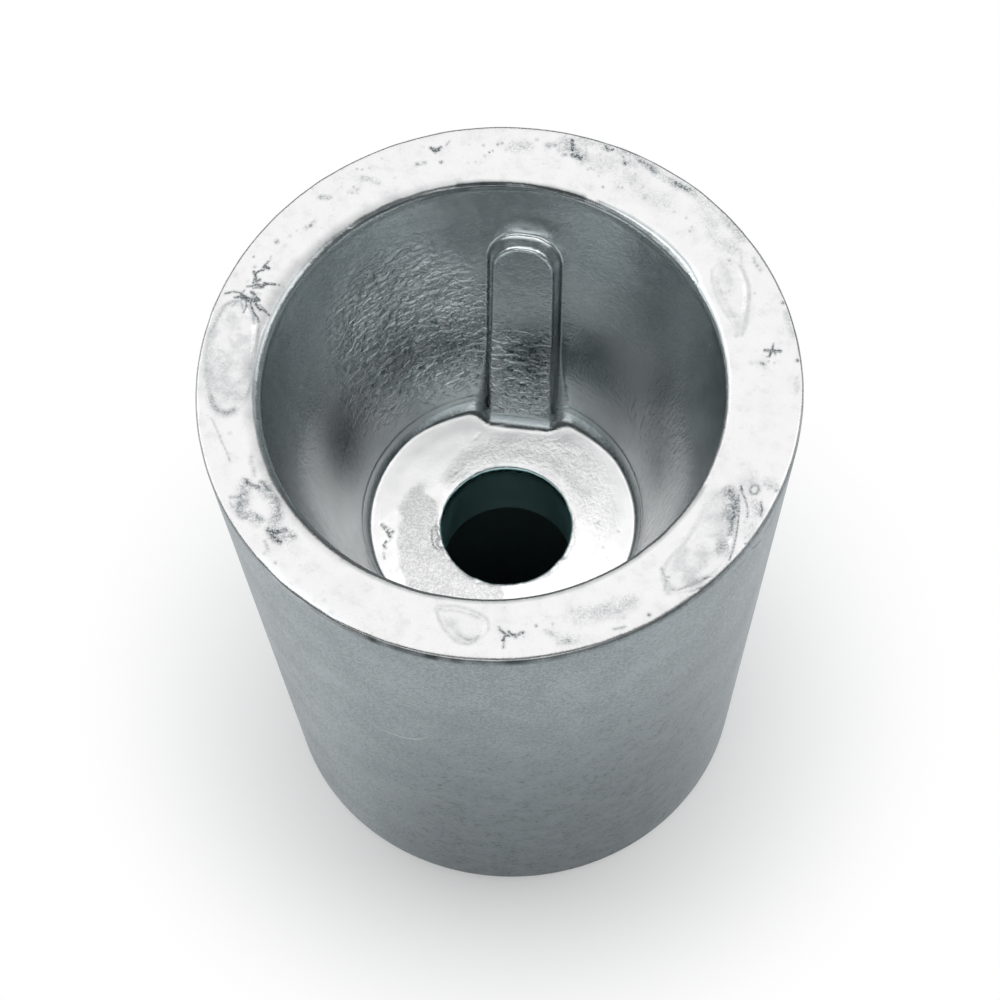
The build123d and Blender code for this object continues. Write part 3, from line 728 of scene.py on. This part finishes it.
# Unevenness of the skin in mm. Each layer: height, size of its features, seed
layers = {
    "all": ((0.03, 9.0, 1), (0.012, 3.0, 2)),
    "rim": ((0.03, 5.0, 3), (0.012, 1.6, 4)),
    "scars": ((0.05, 1.3, 5),),
    "wrinkles": ((0.08, 1.9, 6), (0.06, 1.1, 7)),
    "wall": ((0.03, 5.0, 8),),
    "wallFine": ((0.012, 2.0, 9),),
    "floor": ((0.03, 5.5, 10),),
    "ripples": ((0.02, 1.1, 11), (0.012, 0.6, 20)),
    "grainEdge": ((0.4, 1.1, 19),),
    "mouthEdge": ((0.035, 2.2, 13), (0.018, 0.7, 14)),
    "holeLip": ((0.09, 1.1, 15), (0.05, 0.5, 16)),
    "outerEdge": ((0.04, 1.4, 17),),
    # these vary an amount instead of a height
    "flash": ((1.0, 1.0, 18),),
    # lumps in the painted highlight arcs
    "paintedArcs": ((0.5, 0.9, 21),),
    # lumps in the painted dark line under the rim
    "paintedRimEdgeLine": ((0.7, 1.2, 22),),
}


def uneven(points, name):
    return sum(height * lumps(points, size, seed) for height, size, seed in layers[name])


def wallSkin(points, turn, wall):
    # wrinkles and streaks on the cavity wall and the key, with painted shade in duller places and painted
    # highlights in bright arcs
    wallReach, wallShift, keyShift = 18.5, 0.5, 0.6
    x, y, z = points.T
    above = z - floorZ
    upWall = np.stack([np.arctan2(x + wallShift, y) * wallReach, above], axis=1)
    patch = [(math.radians(angle) * wallReach, level) for angle, level in surfaceMarks["wrinkles"]]
    wrinkled = smoothStep(depthInside(upWall, patch), -3.0, 4.0) * wall
    over, outline, down = keyDistances(x + keyShift, y, above)
    keyFace = wall * smoothStep(outline, 0.3, -0.3) * smoothStep(over, -0.9, -0.4) * (y > 0)
    wrinkled = np.maximum(wrinkled * (1 - keyFace), keyFace * (0.06 + 0.74 * smoothStep(above, 14, 9)))
    # the skin is smooth below the ledge
    ledge = key["ledgeHeight"]
    wrinkled = wrinkled * smoothStep(above, ledge - 0.1, ledge + 0.2)
    streaks = wall * smoothStep(turn, 35, 60) * smoothStep(above, 20, 10)
    leftStreaks = wall * smoothStep(turn, -50, -70) * smoothStep(above, 20, 12) * 0.25
    # painted shade: darker towards the floor, darkest in the corner itself
    paintedShading = 0.3 * smoothStep(above, 20, 5) * smoothStep(above, 0.6, 1.7)
    paintedShading += 0.45 * bell(above - 0.12, 0.16) + 0.3 * bell(above - ledge - 0.05, 0.08)
    paintedShading += 0.32 * smoothStep(above, ledge + 0.1, 0.6)
    # painted shade patches, and painted highlights where the amount is below 0
    for angle, level, halfTurn, halfHeight, amount in surfaceMarks["paintedShadingPatches"]:
        paintedShading += amount * bell(turn - angle, halfTurn) * bell(above - level, halfHeight)
    # painted highlights: bright arcs round the key's top end
    foot = np.hypot(x + keyShift, y) - wallRadius(z)
    paintedArcs = 0.7 * bell(over, 0.16) * bell(outline, 0.2) + 0.12 * bell(foot, 0.3) * bell(outline, 0.3)
    paintedArcs *= smoothStep(down, key["endGap"] + 2.2, key["endGap"] + 1.2) * (0.75 + uneven(points, "paintedArcs"))
    return wrinkled, np.maximum(streaks, leftStreaks), paintedShading, np.maximum(paintedArcs * (y > 0), 0)


def outsideSkin(points, around, outer):
    # painted shade on the near side and lower down, the reach of one curved scratch, and the painted dark
    # line under the rim
    x, y, z = points.T
    # painted shade: darker on the near side and towards the bottom
    paintedOutsideShade = outer * smoothStep(around, 222, 180) * smoothStep(around, 85, 145)
    paintedOutsideShade = paintedOutsideShade * (1 - 0.75 * smoothStep(z, 14, 60))
    scratched = outer * smoothStep(around, 187, 191) * smoothStep(around, 207, 194) * smoothStep(z, 41.8, 41)
    # painted shade: a dark line under the rim's outer edge, darkest on the near side
    line = (np.hypot(x, y) > 29) * smoothStep(z, top - 0.85, top - 0.5) * smoothStep(z, top - 0.02, top - 0.2)
    line = line * (0.75 + uneven(points, "paintedRimEdgeLine"))
    line *= 0.3 + 0.7 * smoothStep(around, 148, 165) * smoothStep(around, 218, 200)
    return paintedOutsideShade, scratched, np.maximum(line, 0)


def insideBox(places, z):
    # nothing stands outside the CAD part's box; the nose stays flat
    spread = np.hypot(places[:, 0], places[:, 1])
    places[:, :2] *= np.minimum(1.0, (casting["mouthRadius"] + 0.05) / spread)[:, None]
    places[:, 2] = np.clip(places[:, 2], 0.0, top + 0.06)
    nose = z < 0.02
    places[nose, 2] = np.maximum(0.0, z[nose])
    return places


def roughenCasting(mesh):
    # casting skin, scars and worn edges, moved along the normals, and the masks for the finish
    count = len(mesh.vertices)
    points, normals = np.empty(count * 3), np.empty(count * 3)
    mesh.vertices.foreach_get("co", points)
    mesh.vertex_normals.foreach_get("vector", normals)
    points, normals = points.reshape(-1, 3), normals.reshape(-1, 3)
    x, y, z = points.T
    flat = points[:, :2]
    squashed = points * (1.0, 1.0, 1.4)
    r = np.hypot(x, y)
    turn = np.degrees(np.arctan2(x, y))
    around = turn % 360
    zones = surfaceZones(points)
    rim, floor, wall = zones["rim"], zones["floorZone"], zones["wall"]
    outer = (r > 20) & (z < top - 0.1) & (wall < 0.5)

    wrinkled, streaks, paintedShading, paintedArcs = wallSkin(points, turn, wall)
    paintedOutsideShade, scratched, paintedRimEdgeLine = outsideSkin(points, around, outer)
    ripple = smoothStep(depthInside(flat, surfaceMarks["ripples"]), -1.2, 0.8) * floor
    grainDepth = depthInside(flat, surfaceMarks["grain"]) + uneven(points, "grainEdge")
    grain = smoothStep(grainDepth, -0.25, 0.25) * floor
    scar = scarDepth(flat)
    growth = markStrength(flat, rimMarks["marks"], finest=rimMarks["finest"]) * rim
    floorDark = markStrength(flat, surfaceMarks["floorMarks"], finest=rimMarks["finest"]) * floor
    onSide = np.stack([around, z], axis=1) * alongSide
    nicks = markStrength(onSide, surfaceMarks["outsideMarks"], alongSide) * outer
    stain = markStrength(flat, rimMarks["stains"]) * rim
    stain += markStrength(flat, surfaceMarks["floorStains"]) * floor

    move = np.where(outer, 0.4, 1.0) * uneven(points, "all") + rim * uneven(points, "rim")
    lip = rimMarks["scarLip"] * bell(scar, 0.35)
    move += rim * (lip - rimMarks["scarDepth"] * smoothStep(scar, 0.1, 0.9))
    move += rim * smoothStep(scar, 0.3, 1.0) * uneven(points, "scars")
    move += wrinkled * uneven(squashed, "wrinkles")
    move += wall * (uneven(points, "wall") + uneven(squashed, "wallFine"))
    move += floor * uneven(points, "floor") + ripple * uneven(points, "ripples")
    # ragged mouth edge, hole edge and outer edge, with flash on part of it
    aboutCore = np.hypot(x + casting["coreShiftMouth"], y)
    mouthEdge = bell(np.hypot(aboutCore - casting["cavityMouthRadius"], z - top), 0.6)
    move += mouthEdge * uneven(points, "mouthEdge")
    aside, forward = casting["holeOffset"]
    fromHole = np.hypot(x - aside, y - forward) - casting["holeRadius"]
    holeLip = bell(np.hypot(fromHole - 0.15, z - floorZ), 0.45)
    move += holeLip * (0.05 + uneven(points, "holeLip"))
    first, last, rise = surfaceMarks["flash"]
    flash = smoothStep(turn, first, first + 6) * smoothStep(turn, last, last - 6)
    outerEdge = bell(np.hypot(r - casting["mouthRadius"], z - top), 0.7)
    move += outerEdge * (uneven(points, "outerEdge") + flash * rise * (0.5 + uneven(points, "flash")))
    # dark growths are pits, nicks on the outside are cut in
    move -= growth * 0.02 + floorDark * 0.06 + nicks * 0.05
    moved = insideBox(points + normals * move[:, None], z)
    mesh.vertices.foreach_set("co", moved.ravel() * mm)
    mesh.update()

    edgeTurn, run = mouthEdgeRun(x, y, z)
    onEdge = np.stack([edgeTurn, run], axis=1) * alongMouth
    nearEdge = (z > top - 2.5) & (run > -1.5) & (run < 3) & (r < 26)
    # painted highlights along the mouth edge
    paintedHighlight = markStrength(onEdge, surfaceMarks["paintedHighlight"], alongMouth) * nearEdge
    fields = {
        **zones,
        "scar": scar,
        "growth": growth + floorDark + nicks,
        "stain": stain,
        "wrinkled": wrinkled,
        # painted shade on the wall; where it is below 0 it is a painted highlight
        "paintedShading": paintedShading * wall,
        "grain": grain,
        "ripple": ripple,
        "streaks": streaks,
        # painted shade: dark lines along the mouth edge
        "paintedEdgeDark": markStrength(onEdge, surfaceMarks["paintedEdgeShade"], alongMouth) * nearEdge,
        # painted highlights: strips on the mouth edge, arcs at the key's end, and the wall's brighter places
        "paintedHighlight": paintedHighlight + wall * (paintedArcs + np.maximum(-paintedShading, 0)),
        "fromHole": np.where(floor > 0.5, fromHole, 3.0).clip(-1, 3),
        "flash": flash * outerEdge,
        "paintedOutsideShade": paintedOutsideShade,
        "scratched": scratched,
        "paintedRimEdgeLine": paintedRimEdgeLine,
    }
    for name, values in fields.items():
        mesh.attributes.new(name, "FLOAT", "POINT").data.foreach_set("value", values.astype(np.float32))


# Zinc: reflection colours of each part of the casting

zincTones = {
    "outside": (0.25, 0.288, 0.306, 1),
    "outsidePale": (0.43, 0.481, 0.504, 1),
    # colour of the painted shade on the outside
    "outsidePaintedShade": (0.18, 0.212, 0.226, 1),
    "wall": (0.56, 0.598, 0.608, 1),
    "wallPale": (0.64, 0.672, 0.682, 1),
    "rim": (0.575, 0.568, 0.568, 1),
    "rimGrey": (0.34, 0.348, 0.355, 1),
    "markEdge": (0.25, 0.263, 0.272, 1),
    "floor": (0.95, 0.932, 0.93, 1),
    "floorGrey": (0.5, 0.50, 0.503, 1),
    # dark colour of marks and growths, also of the painted shade and the painted dark edge lines
    "mark": (0.06, 0.075, 0.08, 1),
    # painted light: the hole's wall is lighter than the metal; painted shade: the recess is near black
    "hole": (0.5, 0.78, 0.78, 1),
    "recess": (0.12, 0.17, 0.17, 1),
    # colour of the painted highlights, and of the bright scratch
    "shine": (0.84, 0.89, 0.9, 1),
    "lip": (1.0, 0.99, 0.99, 1),
    "outsideRoughness": 0.42,
    "wallRoughness": 0.23,
    "rimRoughness": 0.27,
    "floorRoughness": 0.45,
}


# Its noises: scale, detail, roughness, distortion
zincNoises = {
    "cloud": (160.0, 4.0),
    "mottle": (620.0, 4.0, 0.6),
    "fine": (2600.0, 3.0, 0.6),
    "dust": (5200.0, 2.0, 0.6),
    "skin": (1050.0, 3.0, 0.48, 0.5),
    "upright": (1900.0, 2.0, 0.5, 0.6),
    "flecks": (2600.0, 1.0, 0.5),
}

# The curved scratch on the outside, in metres
scratchPath = {
    "middle": (0.0077, 0.0, -0.0426),
    "radius": 0.00433,
    "halfWidth": 0.00011,
    "core": 0.00003,
}


def zincFinish():
    zinc = Finish(bpy.data.materials.new("castZinc"))
    tone = zincTones
    place = zinc.node("ShaderNodeTexCoord", {}, {}, 3)
    rim, floor, wall = (zinc.mask(name) for name in ("rim", "floorZone", "wall"))
    scar, growth, stain = (zinc.mask(name) for name in ("scar", "growth", "stain"))
    wrinkled, grain, ripple = (zinc.mask(name) for name in ("wrinkled", "grain", "ripple"))
    paintedOutsideShade, paintedShading, streaks = (zinc.mask(name) for name in ("paintedOutsideShade", "paintedShading", "streaks"))

    def noise(name, scale=(1.0, 1.0, 1.0), turn=(0.0, 0.0, 0.0)):
        where = place if scale == (1.0, 1.0, 1.0) else zinc.stretch(place, scale, turn=turn)
        return zinc.noise(where, *zincNoises[name])

    cloud, mottle, fine, dust = (noise(name) for name in ("cloud", "mottle", "fine", "dust"))
    skin = noise("skin", (1.0, 1.0, 1.4))
    crust = skin.step(0.43, 0.55)
    upright = noise("upright", (1.0, 1.0, 0.3))
    flecks = noise("flecks", (0.9, 0.9, 1.5), (0.0, 0.5, 0.0))

    # outside: satin skin with slanting flecks and a faint grain, painted shade on the near side and lower
    # down, and a scratch
    satin = (cloud * 0.2 + mottle * 0.2 + fine * 0.3 + dust * 0.3).step(0.42, 0.58)
    outside = zinc.mix(satin, tone["outside"], tone["outsidePale"])
    outside = zinc.mix(paintedOutsideShade * (0.55 + mottle * 0.4 + dust * 0.5), outside, tone["outsidePaintedShade"])
    flecked = flecks.step(0.54, 0.7) * (paintedOutsideShade * 0.5 + 0.22) * mottle.step(0.35, 0.6)
    outside = zinc.mix(flecked.clear(), outside, tone["mark"])
    aside = zinc.stretch(place, (1.0, 0.0, 1.0), scratchPath["middle"])
    arc = zinc.node("ShaderNodeVectorMath", {"operation": "LENGTH"}, {0: aside}, 1)
    scratch = (arc - scratchPath["radius"]).size().step(scratchPath["halfWidth"], scratchPath["core"])
    scratch = scratch * zinc.mask("scratched") * mottle.step(0.3, 0.5)
    outside = zinc.mix(scratch * 0.5, outside, tone["shine"])
    # marks have ragged edges and break up into specks where they are weak
    speck = (fine * 0.5 + dust * 0.5).step(0.41, 0.57)
    soft = (growth * (0.6 + speck * 0.7)).clear()
    dark = (growth.step(0.4, 0.9) * (0.3 + speck * 0.8)).clear() * 0.85
    outside = zinc.mix(dark, outside, tone["mark"])
    # cavity wall: smooth and bright, with painted shade in places
    inner = zinc.mix((cloud * 0.6 + mottle * 0.4).step(0.35, 0.65), tone["wall"], tone["wallPale"])
    paintedDarkening = paintedShading * (0.75 + crust * wrinkled * 0.15 + fine * 0.4)
    inner = zinc.mix(paintedDarkening.clear(), inner, tone["mark"])
    # rim: bright, with faint grey clouds, thin dark growths, pits and stains
    clouds = mottle.step(0.5, 0.74) * 0.2 + cloud.step(0.5, 0.7) * 0.1
    clouds = clouds + fine.step(0.58, 0.7) * mottle.step(0.4, 0.6) * 0.35
    inScar = scar.step(0.0, 0.5) * (mottle.step(0.42, 0.62) * 0.25 + 0.08)
    outline = (scar - (mottle - 0.5) * 0.3).size().step(0.3, 0.03) * 0.2
    speckled = (stain * (mottle.step(0.3, 0.6) * 0.6 + speck * 0.6)).clear()
    face = zinc.mix((clouds + inScar + outline + speckled).clear(), tone["rim"], tone["rimGrey"])
    face = zinc.mix(soft * 0.8, face, tone["markEdge"])
    face = zinc.mix((dark + speckled * speck * 0.35).clear(), face, tone["mark"])
    # cavity floor: bright, with a dull grainy patch and a rippled one
    worn = grain * (0.15 + speck * 0.45) + ripple * fine.step(0.45, 0.62) * 0.16 + stain * 0.5
    plate = zinc.mix(worn.clear(), tone["floor"], tone["floorGrey"])
    plate = zinc.mix(dark, plate, tone["mark"])
    # the hole's edge: a bright ragged lip with broken thin lines outside it
    fromHole = zinc.mask("fromHole") + (mottle - 0.5) * 1.5 + (fine - 0.5) * 0.4
    lipLine = (fromHole - 0.4).size().step(0.16, 0.02) * cloud.step(0.4, 0.55) * 0.25
    plate = zinc.mix(lipLine, plate, tone["mark"])
    plate = zinc.mix(fromHole.step(0.3, 0.12), plate, tone["lip"])
    # all zones together, with the painted highlights and painted dark edge lines over them, the hole's wall
    # painted lighter and the recess painted dark
    # painted highlights, with the flash on the rim's outer edge painted bright as well
    shine = (zinc.mask("paintedHighlight") + zinc.mask("flash") * 0.6).clear() * 0.75
    # painted shade: dark lines along the mouth edge and under the rim
    paintedEdgeLines = (zinc.mask("paintedEdgeDark") + zinc.mask("paintedRimEdgeLine")) * (0.55 + mottle * 0.6)
    colour = outside
    for amount, over in ((wall, inner), (rim, face), (floor, plate), (shine, tone["shine"]),
                         (paintedEdgeLines.clear(), tone["mark"]), (zinc.mask("hole"), tone["hole"]),
                         (zinc.mask("recess"), tone["recess"])):
        colour = zinc.mix(amount, colour, over)

    plain = tone["outsideRoughness"]
    rough = plain + (mottle - 0.5) * 0.2
    rough = rough + wall * (tone["wallRoughness"] - plain) - wrinkled * 0.1
    rough = rough + rim * (tone["rimRoughness"] - plain + dark * 0.3)
    rough = rough + floor * (tone["floorRoughness"] - plain + grain * 0.05)

    height = fine * 0.012 + mottle * 0.01 + dust * 0.004
    height = height + wall * (skin * 0.02 + fine * 0.012)
    height = height + wrinkled * (skin * 0.27 + crust * 0.05) + streaks * (upright * 0.08)
    height = height + rim * (mottle * 0.02 - soft * 0.012)
    height = height + grain * (dust * 0.03) + ripple * (fine * 0.06 + mottle * 0.1)
    bump = zinc.node("ShaderNodeBump", {}, {"Strength": 1.0, "Distance": mm, "Height": height})
    sockets = {"Base Color": colour, "Metallic": 1.0, "Roughness": rough.clear(), "Normal": bump}
    return zinc.close(zinc.node("ShaderNodeBsdfPrincipled", {}, sockets))


def makeCasting():
    body = spinCasting()
    body.normal_update()
    sharpenMarks(body)
    mesh = bpy.data.meshes.new("anodeBody")
    body.to_mesh(mesh)
    body.free()
    for polygon in mesh.polygons:
        polygon.use_smooth = True
    roughenCasting(mesh)
    piece = bpy.data.objects.new("anodeBody", mesh)
    bpy.context.scene.collection.objects.link(piece)
    mesh.materials.append(zincFinish())
    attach(piece, "root")
    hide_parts("anode_casting")
    mesh.calc_loop_triangles()
    print("casting made,", len(mesh.loop_triangles), "triangles")


# Room, lamps, floor and camera, in metres

studio = {
    "room": (0.74, 0.81, 0.82, 1),
    "roomLevel": 0.2,
    "white": (1, 1, 1, 1),
    "aim": (0, 0, 0.04),
    # each lamp's place, width and height, and power
    "lamps": {
        "overheadSoftbox": ((0.0, 0.6, 1.375), (2.1, 1.5), 14.8),
        "leftSoftbox": ((-1.1, 0.3, 0.9), (1.0, 1.0), 4.7),
        "rightSoftbox": ((1.1, 0.3, 0.9), (1.0, 1.0), 4.7),
        "frontSoftbox": ((0.0, -1.06, 1.06), (1.4, 0.5), 3.6),
    },
    "paper": (0.9, 0.9, 0.9, 1),
    "paperReach": 3.0,
    # a hair below the nose, so that the two never share a plane
    "paperPlace": (0.0, 0.0, -0.02 * mm),
}

photoCamera = {
    "sensorWidth": 36.0,
    "lens": 329.16,
    "nearest": 0.05,
    "farthest": 20.0,
    "place": (0.08121, -0.41777, 0.85802),
    "turn": (27.5041, 1.2976, 8.5726),
}


def backgroundRays(finish):
    # 1 for the rays that should see a white background
    rays = ("Is Camera Ray", "Is Glossy Ray", "Is Transmission Ray")
    path = [finish.node("ShaderNodeLightPath", {}, {}, name) for name in rays]
    return path[0].most(path[1]).most(path[2])


def makeStudio():
    world = bpy.data.worlds.new("studioRoom")
    bpy.context.scene.world = world
    room = Finish(world)
    seen = room.node("ShaderNodeLightPath", {}, {}, "Is Camera Ray")
    grey = room.node("ShaderNodeBackground", {}, {"Color": studio["room"], "Strength": studio["roomLevel"]})
    white = room.node("ShaderNodeBackground", {}, {"Color": studio["white"], "Strength": 1.0})
    both = room.node("ShaderNodeMixShader", {}, {0: seen, 1: grey, 2: white})
    room.close(both, "ShaderNodeOutputWorld")
    for name, (place, size, power) in studio["lamps"].items():
        data = bpy.data.lights.new(name, "AREA")
        data.shape = "RECTANGLE"
        data.size, data.size_y = size
        data.energy = power
        lamp = bpy.data.objects.new(name, data)
        lamp.location = place
        lamp.rotation_euler = (Vector(studio["aim"]) - Vector(place)).to_track_quat("-Z", "Y").to_euler()
        bpy.context.scene.collection.objects.link(lamp)


def makeFloor():
    slab = bmesh.new()
    bmesh.ops.create_grid(slab, x_segments=1, y_segments=1, size=studio["paperReach"])
    mesh = bpy.data.meshes.new("studioFloor")
    slab.to_mesh(mesh)
    slab.free()
    floor = bpy.data.objects.new("studioFloor", mesh)
    floor.location = studio["paperPlace"]
    bpy.context.scene.collection.objects.link(floor)
    paper = Finish(bpy.data.materials.new("floorPaper"))
    place = paper.node("ShaderNodeTexCoord", {}, {}, 3)
    fromMiddle = paper.node("ShaderNodeVectorMath", {"operation": "LENGTH"}, {0: place}, 1)
    cover = paper.node("ShaderNodeBsdfPrincipled", {}, {"Base Color": studio["paper"], "Roughness": 0.9})
    white = paper.node("ShaderNodeEmission", {}, {"Color": studio["white"], "Strength": 1.0})
    # the paper's own shade gives way to white outside the foot
    clean = fromMiddle.step(0.019, 0.023) * 0.35 + fromMiddle.step(0.02, 0.048) * 0.65
    both = {0: backgroundRays(paper) * clean, 1: cover, 2: white}
    mesh.materials.append(paper.close(paper.node("ShaderNodeMixShader", {}, both)))


def makeCamera():
    data = bpy.data.cameras.new("photoCamera")
    data.sensor_width = photoCamera["sensorWidth"]
    data.lens = photoCamera["lens"]
    data.clip_start = photoCamera["nearest"]
    data.clip_end = photoCamera["farthest"]
    camera = bpy.data.objects.new("photoCamera", data)
    camera.location = photoCamera["place"]
    camera.rotation_euler = [math.radians(turn) for turn in photoCamera["turn"]]
    bpy.context.scene.collection.objects.link(camera)
    bpy.context.scene.camera = camera


makeStudio()
makeFloor()
makeCamera()
print("studio ready")
makeCasting()

bpy.context.scene.view_settings.view_transform = "Standard"
